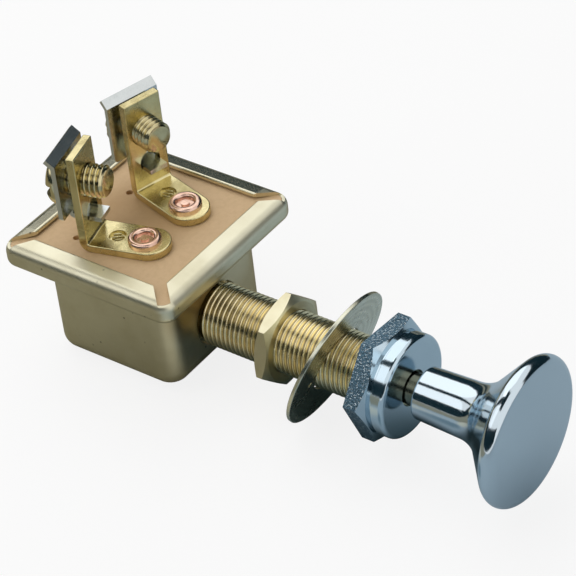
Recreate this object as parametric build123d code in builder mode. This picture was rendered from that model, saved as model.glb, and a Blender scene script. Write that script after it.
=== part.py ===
from build123d import *
import os
from math import atan, cos, pi, radians, sin, sqrt, tan

# A push-pull switch for a panel. Millimetres.
# The stem runs along -Y from the case to the knob, the terminals point up, +Z.
# The origin is on the stem's axis, at the outside of the case's front wall.

# Case: a drawn cup with a square flange, crimped over the terminal board
case_width = 22.4
case_wall = 0.75
case_corner_radius = 3.2
case_floor_radius = 2.6
cup_floor_radius = 1.1
case_drop = 7.4
flange_rise = 9.2
flange_width = 30.4
flange_corner_radius = 2.3
flange_under_radius = 1.2
flange_roll_radius = 1.7
lip_reach = 3.3
lip_thickness = 0.7
lip_channel = 1.9
lip_end_radius = 0.8
lip_edge_radius = 0.3
lip_slope = 10.0
roll_end_slope = 6.0

# Terminal board
board_thickness = 2.4
board_side_clearance = 0.05
pilot_diameter = 1.1
pilot_depth = 0.7
pilot_right = 4.4
pilot_left = -7.9
pilot_back = 17.8

# Stem: 3/8 inch, 32 threads to the inch
stem_diameter = 9.525
stem_reach = 32.3
stem_hole_gap = 0.15
stem_flange_diameter = 10.9
stem_flange_thickness = 1.2
stem_end_chamfer = 0.5

# Jam nut behind the panel
jam_across_flats = 12.7
jam_thickness = 2.4
jam_place = 11.0
jam_turn = 17.0
jam_face_diameter = 12.1

# Loose panel washer
washer_diameter = 21.9
washer_thickness = 0.6
washer_place = 20.6
washer_slant = 19.2
washer_edge_radius = 0.15
washer_hang_clearance = 0.015
washer_pip_diameter = 0.9
washer_pip_place = 6.5

# Chromed face nut with a collar
face_across_flats = 15.875
face_hex_thickness = 2.8
face_engagement = 4.0
face_turn = 53.5
face_hex_bevel_diameter = 15.6
collar_diameter = 15.4
collar_length = 2.7
collar_edge_radius = 0.7
collar_root_diameter = 14.5
collar_root_length = 0.8
collar_cove_radius = 0.3
collar_front_wall = 1.2
collar_hole_gap = 0.35

# Angles of a hexagon, its turned bevels and a square
hex_half_angle = 30.0
nut_bevel_angle = 30.0
square_diagonal = 45.0

# Fits
thread_clearance = 0.05
shaft_clearance = 0.05
stop_clearance = 0.1

# Plunger rod and its travel
travel = 8.0
shaft_diameter = 4.76
shaft_in_knob = 7.5
groove_depth = 0.4
clip_diameter = 8.0
clip_thickness = 0.8
clip_mouth = 3.2
stake_washer_diameter = 8.0
stake_washer_thickness = 0.8
peen_diameter = 6.2
peen_height = 0.7
peen_round = 0.4

# Knob
knob_gap = 2.0
hub_start_diameter = 7.8
hub_diameter = 8.5
hub_end_round = 0.4
knob_diameter = 22.1
knob_length = 17.45
knob_dome = 0.3
knob_rim_radius = 1.3
knob_flare_radius = 5.5
knob_cone_angle = 50.0

# Terminals
rivet_spread = 9.5
rivet_back = 7.6
terminal_turn = 15.0
strip_width = 6.35
strip_thickness = 1.27
foot_nose = 0.7
foot_length = 7.55
tab_height = 16.05
bend_inner_radius = 0.35
strip_edge_radius = 0.2
screw_height = 10.65
tongue_hole_height = 5.35
tongue_hole_diameter = 3.5
stamp_diameter = 2.6
stamp_depth = 0.4
stamp_place = 4.2

# Eyelet rivets
rivet_shank_diameter = 3.0
rivet_head_diameter = 4.9
rivet_head_height = 0.75
rivet_head_round = 0.5
rivet_eye_diameter = 2.6
rivet_eye_depth = 0.6
rivet_button_diameter = 1.3
rivet_button_height = 0.25
rivet_contact_diameter = 5.2
rivet_contact_thickness = 0.5

# Terminal screws: number 10, 32 threads to the inch
screw_diameter = 4.826
screw_reach = 3.2
screw_tip_chamfer = 0.45
screw_head_diameter = 8.2
screw_head_height = 1.9
screw_head_round = 1.2
slot_width = 1.6
slot_depth = 1.1
screw_head_gap = 0.03

# Wire clamps
clamp_gap = 1.1
clamp_thickness = 0.7
clamp_width = 8.9
clamp_bottom = 5.95
clamp_top = 15.3
clamp_corner_radius = 0.5
lip_length = 1.6
lip_angle = 48.0
clamp_hole_gap = 0.2
tongue_width = 3.0
tongue_reach = 2.0
tongue_clearance = 0.06
tongue_bend_radius = 0.3

# Carriage, bridge and spring inside the case
carriage_width = 15.0
carriage_bottom = 5.4
carriage_head_room = 0.65
carriage_edge_radius = 0.6
bridge_length = 13.4
bridge_width = 4.4
bridge_thickness = 0.9
bridge_corner_radius = 0.8
bridge_side_clearance = 0.1
pad_diameter = 3.0
pad_height = 0.45
contact_clearance = 0.03
spring_span = 9.0
spring_width = 3.4
spring_thickness = 0.3
spring_rise = 1.5

# Worked out from the sizes above
stem_radius = stem_diameter / 2
shaft_radius = shaft_diameter / 2
case_middle = case_width / 2
ledge_top = flange_rise + case_wall
board_top = ledge_top + board_thickness
flange_top = board_top + lip_thickness
board_width = flange_width - 2 * case_wall - 2 * board_side_clearance
opening_width = flange_width - 2 * lip_reach
roll_middle = flange_width / 2 - flange_roll_radius
lip_root = roll_middle + flange_roll_radius * sin(radians(roll_end_slope))
lip_root_top = flange_top - flange_roll_radius * (1 - cos(radians(roll_end_slope)))
lip_rise = (lip_root - opening_width / 2) * tan(radians(lip_slope))
lip_half_length = flange_width / 2 - flange_corner_radius
rear_inside = case_width - case_wall
stem_inside = case_wall + stem_flange_thickness
clip_front = stem_inside + travel + stop_clearance
carriage_front = clip_front + clip_thickness
shaft_end = rear_inside - stop_clearance
stake_front = shaft_end - peen_height - stake_washer_thickness
bridge_middle = rivet_back + travel
bridge_bottom = ledge_top - contact_clearance - pad_height - bridge_thickness
carriage_top = ledge_top - carriage_head_room
channel_floor = bridge_bottom - spring_rise
face_place = stem_reach - face_engagement
hex_front = face_place + face_hex_thickness
collar_front = hex_front + collar_length
knob_start = collar_front + knob_gap
tab_rear = foot_length + strip_thickness
clamp_front = tab_rear + clamp_gap
clamp_rear = clamp_front + clamp_thickness
screw_shoulder = clamp_rear + screw_head_gap
tongue_drop = sqrt((tongue_hole_diameter / 2) ** 2 - (tongue_width / 2) ** 2)
tongue_bottom = tongue_hole_height - tongue_drop + tongue_clearance

sides = {"left": -1, "right": 1}
os.makedirs("parts", exist_ok=True)


def terminal_plane(side):
    """The plane of a terminal: its rivet on the board's top, X across the strip, Y towards its bend."""
    turn = radians(terminal_turn)
    return Plane(
        origin=(side * rivet_spread / 2, rivet_back, board_top),
        x_dir=(cos(turn), -side * sin(turn), 0),
        z_dir=(0, 0, 1),
    )


def facing_plane(side, back, height):
    """A plane across a terminal, facing the knob, at a distance behind the rivet and above the board."""
    base = terminal_plane(side)
    return Plane(
        origin=base.from_local_coords((0, back, height)),
        x_dir=base.x_dir,
        z_dir=-base.y_dir,
    )


def edge_plane(side):
    """A plane along a terminal, through its middle: X towards the bend, Y up."""
    base = terminal_plane(side)
    return Plane(origin=base.origin, x_dir=base.y_dir, z_dir=base.x_dir)


# Space inside the cup
with BuildPart() as cup_space:
    with BuildSketch(Plane.XY.offset(case_wall - case_drop)):
        with Locations((0, case_middle)):
            inside_width = case_width - 2 * case_wall
            RectangleRounded(inside_width, inside_width, case_corner_radius - case_wall)
    extrude(amount=case_drop + flange_rise)
    fillet(cup_space.faces().sort_by(Axis.Z)[0].edges(), radius=cup_floor_radius)

with BuildPart() as case:
    with BuildSketch(Plane.XY.offset(-case_drop)):
        with Locations((0, case_middle)):
            RectangleRounded(case_width, case_width, case_corner_radius)
    extrude(amount=case_drop + ledge_top)
    fillet(case.faces().sort_by(Axis.Z)[0].edges(), radius=case_floor_radius)
    with BuildSketch(Plane.XY.offset(flange_rise)):
        with Locations((0, case_middle)):
            RectangleRounded(flange_width, flange_width, flange_corner_radius)
    extrude(amount=flange_top - flange_rise)
    fillet(case.faces().sort_by(Axis.Z)[-1].edges(), radius=flange_roll_radius)
    level_faces = case.faces().filter_by(Axis.Z)
    under_face = min(level_faces, key=lambda face: abs(face.center().Z - flange_rise))
    fillet(under_face.outer_wire().edges(), radius=flange_under_radius)
    add(cup_space.part, mode=Mode.SUBTRACT)
    # Pocket that holds the board under the lips
    with BuildSketch(Plane.XY.offset(ledge_top)):
        with Locations((0, case_middle)):
            pocket_width = flange_width - 2 * case_wall
            RectangleRounded(pocket_width, pocket_width, flange_corner_radius - case_wall)
    extrude(amount=board_thickness, mode=Mode.SUBTRACT)
    # Lips that rise from the roll towards the opening, with soft edges
    with BuildSketch(Plane.XY.offset(board_top)):
        with Locations((0, case_middle)):
            Rectangle(2 * roll_middle, 2 * roll_middle)
    extrude(amount=lip_thickness, mode=Mode.SUBTRACT)
    for quarter in range(4):
        around = quarter * pi / 2
        lip_plane = Plane(
            origin=(0, case_middle, 0),
            x_dir=(cos(around), sin(around), 0),
            z_dir=(sin(around), -cos(around), 0),
        )
        with BuildSketch(lip_plane) as lip_profile:
            with BuildLine():
                Polyline(
                    (lip_root, board_top),
                    (lip_root, lip_root_top),
                    (opening_width / 2, lip_root_top + lip_rise),
                    (opening_width / 2, board_top + lip_rise),
                    close=True,
                )
            make_face()
            fillet(lip_profile.vertices().sort_by(Axis.Y)[-1], radius=lip_edge_radius)
        extrude(amount=lip_half_length, both=True)
    # Opening, with a channel to each corner
    with BuildSketch(Plane.XY.offset(board_top)) as opening:
        with Locations((0, case_middle)):
            Rectangle(opening_width, opening_width)
            Rectangle(2 * flange_width, lip_channel, rotation=square_diagonal)
            Rectangle(2 * flange_width, lip_channel, rotation=-square_diagonal)
        half = opening_width / 2
        mouth = [
            v for v in opening.vertices()
            if abs(max(abs(v.X), abs(v.Y - case_middle)) - half) < lip_end_radius / 10
        ]
        fillet(mouth, radius=lip_end_radius)
    extrude(amount=lip_thickness + lip_rise, mode=Mode.SUBTRACT)
    with BuildSketch(Plane.XZ):
        Circle(stem_radius + stem_hole_gap)
    extrude(amount=-2 * case_wall, mode=Mode.SUBTRACT)
case.part.label = "case"

with BuildPart() as terminal_board:
    with BuildSketch(Plane.XY.offset(ledge_top)):
        with Locations((0, case_middle)):
            board_corner_radius = flange_corner_radius - case_wall - board_side_clearance
            RectangleRounded(board_width, board_width, board_corner_radius)
    extrude(amount=board_thickness)
    with BuildSketch(Plane.XY.offset(ledge_top)):
        with Locations((-rivet_spread / 2, rivet_back), (rivet_spread / 2, rivet_back)):
            Circle(rivet_shank_diameter / 2)
    extrude(amount=board_thickness, mode=Mode.SUBTRACT)
    with BuildSketch(Plane.XY.offset(ledge_top)):
        with Locations((-rivet_spread / 2, rivet_back), (rivet_spread / 2, rivet_back)):
            Circle(rivet_contact_diameter / 2)
    extrude(amount=rivet_contact_thickness, mode=Mode.SUBTRACT)
    with BuildSketch(Plane.XY.offset(board_top)):
        with Locations((pilot_left, pilot_back), (pilot_right, pilot_back)):
            Circle(pilot_diameter / 2)
    extrude(amount=-pilot_depth, mode=Mode.SUBTRACT)
terminal_board.part.label = "terminal_board"

with BuildPart() as threaded_stem:
    with BuildSketch(Plane.XZ):
        Circle(stem_radius)
    extrude(amount=stem_reach)
    chamfer(threaded_stem.faces().sort_by(Axis.Y)[0].edges(), length=stem_end_chamfer)
    with BuildSketch(Plane.XZ):
        Circle(stem_radius)
    extrude(amount=-case_wall)
    with BuildSketch(Plane.XZ.offset(-case_wall)):
        Circle(stem_flange_diameter / 2)
    extrude(amount=-stem_flange_thickness)
    with BuildSketch(Plane.XZ.offset(-stem_inside)):
        Circle(shaft_radius + shaft_clearance)
    extrude(amount=stem_inside + stem_reach, mode=Mode.SUBTRACT)
threaded_stem.part.label = "threaded_stem"

with BuildPart() as jam_nut:
    with BuildSketch(Plane.XZ.offset(jam_place)):
        RegularPolygon(jam_across_flats / 2, 6, major_radius=False, rotation=jam_turn)
    extrude(amount=jam_thickness)
    # Bevels turned on both ends of the hexagon
    with BuildSketch(Plane.XY):
        jam_corner = jam_across_flats / 2 / cos(radians(hex_half_angle))
        jam_bevel = (jam_corner - jam_face_diameter / 2) * tan(radians(nut_bevel_angle))
        with BuildLine():
            Polyline(
                (0, -jam_place),
                (jam_face_diameter / 2, -jam_place),
                (jam_corner, -jam_place - jam_bevel),
                (jam_corner, jam_bevel - jam_place - jam_thickness),
                (jam_face_diameter / 2, -jam_place - jam_thickness),
                (0, -jam_place - jam_thickness),
                close=True,
            )
        make_face()
    revolve(axis=Axis.Y, mode=Mode.INTERSECT)
    with BuildSketch(Plane.XZ.offset(jam_place)):
        Circle(stem_radius + thread_clearance)
    extrude(amount=jam_thickness, mode=Mode.SUBTRACT)
jam_nut.part.label = "jam_nut"

slant = radians(washer_slant)
washer_plane = Plane(
    origin=(0, -washer_place, 0),
    x_dir=(1, 0, 0),
    z_dir=(0, -cos(slant), -sin(slant)),
)
washer_bore = (stem_radius + washer_thickness / 2 * sin(slant)) / cos(slant) + washer_hang_clearance
with BuildPart() as panel_washer:
    with BuildSketch(washer_plane):
        Circle(washer_diameter / 2)
    extrude(amount=washer_thickness / 2, both=True)
    fillet(panel_washer.edges().filter_by(GeomType.CIRCLE), radius=washer_edge_radius)
    with BuildSketch(washer_plane):
        Circle(washer_bore)
        with Locations((-washer_pip_place, 0)):
            Circle(washer_pip_diameter / 2)
    extrude(amount=washer_thickness, both=True, mode=Mode.SUBTRACT)
panel_washer.part.label = "panel_washer"

with BuildPart() as face_nut:
    with BuildSketch(Plane.XZ.offset(face_place)):
        RegularPolygon(face_across_flats / 2, 6, major_radius=False, rotation=face_turn)
    extrude(amount=face_hex_thickness)
    # Bevel turned on the front of the hexagon
    with BuildSketch(Plane.XY):
        face_corner = face_across_flats / 2 / cos(radians(hex_half_angle))
        face_bevel = (face_corner - face_hex_bevel_diameter / 2) * tan(radians(nut_bevel_angle))
        with BuildLine():
            Polyline(
                (0, -face_place),
                (face_corner, -face_place),
                (face_corner, face_bevel - hex_front),
                (face_hex_bevel_diameter / 2, -hex_front),
                (0, -hex_front),
                close=True,
            )
        make_face()
    revolve(axis=Axis.Y, mode=Mode.INTERSECT)
    # Round collar with a narrow neck behind its bead
    neck = (collar_root_diameter / 2, -hex_front - collar_root_length)
    with BuildSketch(Plane.XY) as collar_profile:
        with BuildLine():
            Polyline(
                (0, -hex_front),
                (collar_root_diameter / 2, -hex_front),
                neck,
                (collar_diameter / 2, neck[1]),
                (collar_diameter / 2, -collar_front),
                (0, -collar_front),
                close=True,
            )
        make_face()
        fillet(collar_profile.vertices().sort_by_distance(neck)[0], radius=collar_cove_radius)
    revolve(axis=Axis.Y)
    fillet(face_nut.faces().sort_by(Axis.Y)[0].edges(), radius=collar_edge_radius)
    with BuildSketch(Plane.XZ.offset(face_place)):
        Circle(stem_radius + thread_clearance)
    extrude(amount=collar_front - face_place - collar_front_wall, mode=Mode.SUBTRACT)
    with BuildSketch(Plane.XZ.offset(face_place)):
        Circle(shaft_radius + collar_hole_gap)
    extrude(amount=collar_front - face_place, mode=Mode.SUBTRACT)
face_nut.part.label = "face_nut"

with BuildPart() as plunger_shaft:
    with BuildSketch(Plane.XZ.offset(peen_height - shaft_end)):
        Circle(shaft_radius)
    extrude(amount=shaft_end - peen_height + knob_start + shaft_in_knob)
    # Peened rear end
    with BuildSketch(Plane.XZ.offset(-shaft_end)):
        Circle(peen_diameter / 2)
    extrude(amount=peen_height)
    fillet(plunger_shaft.faces().sort_by(Axis.Y)[-1].edges(), radius=peen_round)
    # Groove for the clip
    with BuildSketch(Plane.XZ.offset(-clip_front)):
        Circle(shaft_diameter)
        Circle(shaft_radius - groove_depth, mode=Mode.SUBTRACT)
    extrude(amount=-clip_thickness, mode=Mode.SUBTRACT)
plunger_shaft.part.label = "plunger_shaft"

with BuildPart() as retaining_clip:
    with BuildSketch(Plane.XZ.offset(-clip_front)):
        Circle(clip_diameter / 2)
        Circle(shaft_radius - groove_depth, mode=Mode.SUBTRACT)
        with Locations((0, -clip_diameter / 2)):
            Rectangle(clip_mouth, clip_diameter, mode=Mode.SUBTRACT)
    extrude(amount=-clip_thickness)
retaining_clip.part.label = "retaining_clip"

with BuildPart() as stake_washer:
    with BuildSketch(Plane.XZ.offset(-stake_front)):
        Circle(stake_washer_diameter / 2)
        Circle(shaft_radius, mode=Mode.SUBTRACT)
    extrude(amount=-stake_washer_thickness)
stake_washer.part.label = "stake_washer"

with BuildPart() as knob:
    cone = radians(knob_cone_angle)
    knob_edge = -knob_start - knob_length
    rim_across = knob_diameter / 2 - knob_rim_radius
    rim_along = knob_edge + knob_rim_radius
    # The rim's round runs from the edge of the domed face to the cone under the disc
    dome_slope = 2 * atan(knob_dome / rim_across)
    face_edge = (
        rim_across + knob_rim_radius * sin(dome_slope),
        rim_along - knob_rim_radius * cos(dome_slope),
    )
    face_middle = (0, face_edge[1] - face_edge[0] * tan(dome_slope / 2))
    cone_edge = (rim_across + knob_rim_radius * cos(cone), rim_along + knob_rim_radius * sin(cone))
    waist = (hub_diameter / 2, cone_edge[1] + (cone_edge[0] - hub_diameter / 2) / tan(cone))
    hub_corner = (hub_start_diameter / 2, -knob_start)
    with BuildSketch(Plane.XY) as knob_profile:
        with BuildLine():
            TangentArc(face_middle, face_edge, tangent=(1, 0))
            ThreePointArc(face_edge, (knob_diameter / 2, rim_along), cone_edge)
            Polyline(cone_edge, waist, hub_corner, (0, -knob_start), face_middle)
        make_face()
        fillet(knob_profile.vertices().sort_by_distance(waist)[0], radius=knob_flare_radius)
        fillet(knob_profile.vertices().sort_by_distance(hub_corner)[0], radius=hub_end_round)
    revolve(axis=Axis.Y)
    with BuildSketch(Plane.XZ.offset(knob_start)):
        Circle(shaft_radius)
    extrude(amount=shaft_in_knob, mode=Mode.SUBTRACT)
knob.part.label = "knob"

with BuildPart() as contact_carriage:
    with BuildSketch(Plane.XZ.offset(-carriage_front)):
        with Locations((0, (carriage_top - carriage_bottom) / 2)):
            Rectangle(carriage_width, carriage_top + carriage_bottom)
        Circle(shaft_radius, mode=Mode.SUBTRACT)
    extrude(amount=carriage_front - stake_front)
    corner_edges = contact_carriage.edges().filter_by(Axis.Y).group_by(Axis.Z)
    fillet(corner_edges[0] + corner_edges[-1], radius=carriage_edge_radius)
    # Channel for the bridge and its spring
    with BuildSketch(Plane.XY.offset(channel_floor)):
        with Locations((0, bridge_middle)):
            Rectangle(carriage_width, bridge_width + 2 * bridge_side_clearance)
    extrude(amount=carriage_top - channel_floor, mode=Mode.SUBTRACT)
contact_carriage.part.label = "contact_carriage"

with BuildPart() as contact_bridge:
    with BuildSketch(Plane.XY.offset(bridge_bottom)):
        with Locations((0, bridge_middle)):
            RectangleRounded(bridge_length, bridge_width, bridge_corner_radius)
    extrude(amount=bridge_thickness)
    with BuildSketch(Plane.XY.offset(bridge_bottom + bridge_thickness)):
        with Locations((-rivet_spread / 2, bridge_middle), (rivet_spread / 2, bridge_middle)):
            Circle(pad_diameter / 2)
    extrude(amount=pad_height)
contact_bridge.part.label = "contact_bridge"

with BuildPart() as contact_spring:
    with BuildSketch(Plane.XZ.offset(-bridge_middle)):
        with BuildLine():
            span = spring_span / 2
            ThreePointArc(
                (-span, channel_floor),
                (0, bridge_bottom - spring_thickness),
                (span, channel_floor),
            )
            Line((span, channel_floor), (span, channel_floor + spring_thickness))
            ThreePointArc(
                (span, channel_floor + spring_thickness),
                (0, bridge_bottom),
                (-span, channel_floor + spring_thickness),
            )
            Line((-span, channel_floor + spring_thickness), (-span, channel_floor))
        make_face()
    extrude(amount=spring_width / 2, both=True)
contact_spring.part.label = "contact_spring"

single_pieces = [
    case, terminal_board, threaded_stem, jam_nut, panel_washer, face_nut, plunger_shaft,
    retaining_clip, stake_washer, knob, contact_carriage, contact_bridge, contact_spring,
]
for piece in single_pieces:
    export_step(piece.part, f"parts/{piece.part.label}.step")

for name, side in sides.items():
    with BuildPart() as terminal:
        with BuildSketch(terminal_plane(side)):
            with Locations((0, (tab_rear - foot_nose) / 2)):
                Rectangle(strip_width, tab_rear + foot_nose)
            with Locations((0, -foot_nose)):
                Circle(strip_width / 2)
        extrude(amount=strip_thickness)
        with BuildSketch(facing_plane(side, tab_rear, 0)):
            with Locations((0, tab_height / 2)):
                Rectangle(strip_width, tab_height)
        extrude(amount=strip_thickness)
        across = Axis(terminal_plane(side).origin, terminal_plane(side).x_dir)
        bend_edges = terminal.edges().filter_by(across)
        outer_corner = terminal_plane(side).from_local_coords((0, tab_rear, 0))
        outer_bend = bend_edges.sort_by_distance(outer_corner)[0]
        fillet(outer_bend, radius=bend_inner_radius + strip_thickness)
        inner_bend = terminal.edges().filter_by(across).sort_by_distance(
            terminal_plane(side).from_local_coords((0, foot_length, strip_thickness))
        )[0]
        fillet(inner_bend, radius=bend_inner_radius)
        # Rounded edges all round the strip
        bend_lines = terminal.edges().filter_by(across)
        tab_top_edges = bend_lines.group_by(Axis.Z)[-1]
        fillet(terminal.edges() - bend_lines + tab_top_edges, radius=strip_edge_radius)
        # Tapped hole for the screw and round hole for the clamp's tongue
        with BuildSketch(facing_plane(side, tab_rear, 0)):
            with Locations((0, screw_height)):
                Circle(screw_diameter / 2 + thread_clearance)
            with Locations((0, tongue_hole_height)):
                Circle(tongue_hole_diameter / 2)
        extrude(amount=strip_thickness, mode=Mode.SUBTRACT)
        with BuildSketch(terminal_plane(side)):
            Circle(rivet_shank_diameter / 2)
        extrude(amount=strip_thickness, mode=Mode.SUBTRACT)
        with BuildSketch(terminal_plane(side).offset(strip_thickness)):
            with Locations((0, stamp_place)):
                Circle(stamp_diameter / 2)
        extrude(amount=-stamp_depth, mode=Mode.SUBTRACT)
    terminal.part.label = f"terminal_{name}"

    with BuildPart() as rivet:
        foot_top = board_top + strip_thickness
        head_top = foot_top + rivet_head_height
        eye_floor = head_top - rivet_eye_depth
        button_top = eye_floor + rivet_button_height
        middle = (side * rivet_spread / 2, rivet_back, 0)
        with BuildSketch(Plane(origin=middle, x_dir=(1, 0, 0), z_dir=(0, -1, 0))):
            with BuildLine():
                Polyline(
                    (0, ledge_top),
                    (rivet_contact_diameter / 2, ledge_top),
                    (rivet_contact_diameter / 2, ledge_top + rivet_contact_thickness),
                    (rivet_shank_diameter / 2, ledge_top + rivet_contact_thickness),
                    (rivet_shank_diameter / 2, foot_top),
                    (rivet_head_diameter / 2, foot_top),
                    (rivet_head_diameter / 2, head_top),
                    (rivet_eye_diameter / 2, head_top),
                    (rivet_eye_diameter / 2, eye_floor),
                    (rivet_button_diameter / 2, eye_floor),
                    (rivet_button_diameter / 2, button_top),
                    (0, button_top),
                    close=True,
                )
            make_face()
        revolve(axis=Axis(middle, (0, 0, 1)))
        top_edges = rivet.edges().filter_by(GeomType.CIRCLE).group_by(Axis.Z)[-1]
        fillet(top_edges, radius=rivet_head_round)
    rivet.part.label = f"rivet_{name}"

    with BuildPart() as terminal_screw:
        with BuildSketch(facing_plane(side, screw_shoulder, screw_height)):
            Circle(screw_diameter / 2)
        extrude(amount=screw_shoulder - foot_length + screw_reach)
        tip = facing_plane(side, foot_length - screw_reach, screw_height).origin
        tip_edge = terminal_screw.edges().filter_by(GeomType.CIRCLE).sort_by_distance(tip)[0]
        chamfer(tip_edge, length=screw_tip_chamfer)
        with BuildSketch(facing_plane(side, screw_shoulder, screw_height)):
            Circle(screw_head_diameter / 2)
        extrude(amount=-screw_head_height)
        back = facing_plane(side, screw_shoulder + screw_head_height, screw_height)
        fillet(terminal_screw.faces().sort_by_distance(back.origin)[0].edges(), radius=screw_head_round)
        with BuildSketch(back):
            Rectangle(screw_head_diameter, slot_width)
        extrude(amount=slot_depth, mode=Mode.SUBTRACT)
    terminal_screw.part.label = f"terminal_screw_{name}"

    with BuildPart() as clamp_plate:
        lean = radians(lip_angle)
        with BuildSketch(edge_plane(side)):
            with BuildLine():
                lip_tip = (clamp_front + lip_length * sin(lean), clamp_top + lip_length * cos(lean))
                Polyline(
                    (clamp_front, clamp_bottom),
                    (clamp_front, clamp_top),
                    lip_tip,
                    (lip_tip[0] + clamp_thickness * cos(lean), lip_tip[1] - clamp_thickness * sin(lean)),
                    (clamp_rear, clamp_top - clamp_thickness * tan(lean / 2)),
                    (clamp_rear, clamp_bottom),
                    close=True,
                )
            make_face()
        extrude(amount=clamp_width / 2, both=True)
        low_corners = clamp_plate.edges().filter_by(Axis(edge_plane(side).origin, edge_plane(side).x_dir))
        fillet(low_corners, radius=clamp_corner_radius)
        # Tongue through the tab's round hole
        with BuildSketch(edge_plane(side)) as tongue_profile:
            with BuildLine():
                Polyline(
                    (foot_length - tongue_reach, tongue_bottom),
                    (clamp_rear, tongue_bottom),
                    (clamp_rear, clamp_bottom),
                    (clamp_front, clamp_bottom),
                    (clamp_front, tongue_bottom + clamp_thickness),
                    (foot_length - tongue_reach, tongue_bottom + clamp_thickness),
                    close=True,
                )
            make_face()
            outer_bend = tongue_profile.vertices().sort_by_distance((clamp_rear, tongue_bottom))[0]
            fillet(outer_bend, radius=tongue_bend_radius + clamp_thickness)
            tongue_root = (clamp_front, tongue_bottom + clamp_thickness)
            inner_bend = tongue_profile.vertices().sort_by_distance(tongue_root)[0]
            fillet(inner_bend, radius=tongue_bend_radius)
        extrude(amount=tongue_width / 2, both=True)
        with BuildSketch(facing_plane(side, clamp_rear, screw_height)):
            Circle(screw_diameter / 2 + clamp_hole_gap)
        extrude(amount=clamp_thickness, mode=Mode.SUBTRACT)
    clamp_plate.part.label = f"clamp_plate_{name}"

    for piece in (terminal, rivet, terminal_screw, clamp_plate):
        export_step(piece.part, f"parts/{piece.part.label}.step")
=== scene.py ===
"""A push-pull panel switch: threads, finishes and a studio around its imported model."""

import logging
import math
from dataclasses import dataclass
from enum import Enum
from functools import cached_property
from typing import Dict, List, Sequence, Tuple

import bmesh
import bpy
from mathutils import Matrix, Vector


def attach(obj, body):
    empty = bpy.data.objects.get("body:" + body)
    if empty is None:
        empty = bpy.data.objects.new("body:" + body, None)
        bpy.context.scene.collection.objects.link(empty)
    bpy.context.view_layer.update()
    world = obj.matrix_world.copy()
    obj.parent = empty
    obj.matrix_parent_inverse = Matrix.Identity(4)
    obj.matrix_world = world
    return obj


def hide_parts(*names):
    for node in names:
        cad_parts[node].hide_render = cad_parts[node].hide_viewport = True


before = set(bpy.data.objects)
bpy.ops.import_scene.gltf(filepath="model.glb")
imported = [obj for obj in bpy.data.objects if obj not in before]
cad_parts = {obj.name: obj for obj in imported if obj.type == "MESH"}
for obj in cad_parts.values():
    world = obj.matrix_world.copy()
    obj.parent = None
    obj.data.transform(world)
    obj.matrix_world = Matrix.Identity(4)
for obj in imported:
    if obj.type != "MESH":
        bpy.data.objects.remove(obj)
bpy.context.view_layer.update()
LOG = logging.getLogger("push_pull_switch")
MM = 0.001

Colour = Tuple[float, float, float]
Point = Tuple[float, float, float]
Span = Tuple[float, float]
Sockets = Dict[str, str]
Socket = bpy.types.NodeSocket


class Side(Enum):
    """The two terminals, by the sign of X that they stand on."""

    LEFT = -1
    RIGHT = 1

    @property
    def word(self) -> str:
        """The side as it is spelt in the names of the pieces."""
        return self.name.lower()


def metres(point: Point) -> Point:
    """Turn millimetres into metres.

    Args:
        point: a point or a size in millimetres.

    Returns:
        The same in metres.
    """
    return tuple(x * MM for x in point)


# Node groups


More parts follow.
